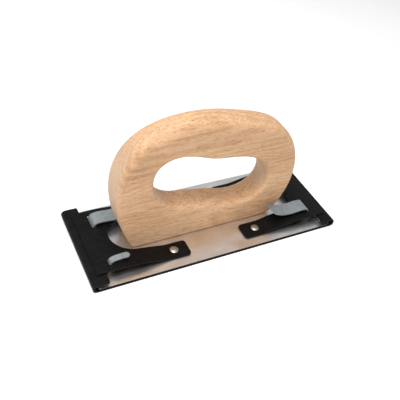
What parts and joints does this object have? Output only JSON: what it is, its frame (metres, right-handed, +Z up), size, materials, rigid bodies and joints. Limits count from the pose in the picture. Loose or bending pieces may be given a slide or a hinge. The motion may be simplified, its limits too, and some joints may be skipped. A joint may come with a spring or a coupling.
{
  "type": "hand sander",
  "caption": "Wooden-handled hand sander: flat padded steel sole with curled ends, sprung clamps and cam levers that hold an abrasive strip.",
  "frame": {"origin": "middle of the pad's underside", "axes": "+Z up out of the sole, +X along the sole towards its right end, +Y across it towards the back"},
  "size_m": [0.23, 0.088, 0.1198],
  "materials": {
    "handle_wood": "sanded, unvarnished",
    "sole_steel": "bright rolled sheet",
    "pad_rubber": "matt black",
    "clamp_paint": "satin black",
    "lever_zinc": "dull zinc plate",
    "rivet_steel": "bright"
  },
  "bodies": {
    "base": {"handle": "handle_wood", "base_plate": "sole_steel", "rubber_pad": "pad_rubber", "clamp_root_left_front": "clamp_paint", "clamp_root_left_back": "clamp_paint", "clamp_root_right_front": "clamp_paint", "clamp_root_right_back": "clamp_paint", "rivet_left_front": "rivet_steel", "rivet_left_back": "rivet_steel", "rivet_right_front": "rivet_steel", "rivet_right_back": "rivet_steel", "handle_screw_left": "rivet_steel", "handle_screw_right": "rivet_steel"},
    "left_clamp": {"clamp_plate_left": "clamp_paint"},
    "right_clamp": {"clamp_plate_right": "clamp_paint"},
    "left_lever": {"release_lever_left": "lever_zinc"},
    "right_lever": {"release_lever_right": "lever_zinc"}
  },
  "joints": [
    {"name": "left_clamp_flex", "type": "hinge", "parent": "base", "child": "left_clamp", "pos_m": [-0.0445, 0, 0.0037], "axis": [0, 1, 0], "range_deg": [0, 3.6], "stiffness_Nm_per_rad": 6, "springref_deg": -0.57},
    {"name": "right_clamp_flex", "type": "hinge", "parent": "base", "child": "right_clamp", "pos_m": [0.0445, 0, 0.0037], "axis": [0, -1, 0], "range_deg": [0, 3.6], "stiffness_Nm_per_rad": 6, "springref_deg": -0.57},
    {"name": "left_lever_turn", "type": "hinge", "parent": "left_clamp", "child": "left_lever", "pos_m": [-0.095, 0, 0.00934], "axis": [0, -1, 0], "range_deg": [0, 50]},
    {"name": "right_lever_turn", "type": "hinge", "parent": "right_clamp", "child": "right_lever", "pos_m": [0.095, 0, 0.00934], "axis": [0, 1, 0], "range_deg": [0, 50]}
  ],
  "couplings": [
    {"joint": "left_clamp_flex", "follows": "left_lever_turn", "ratio": 0.064},
    {"joint": "right_clamp_flex", "follows": "right_lever_turn", "ratio": 0.064}
  ]
}
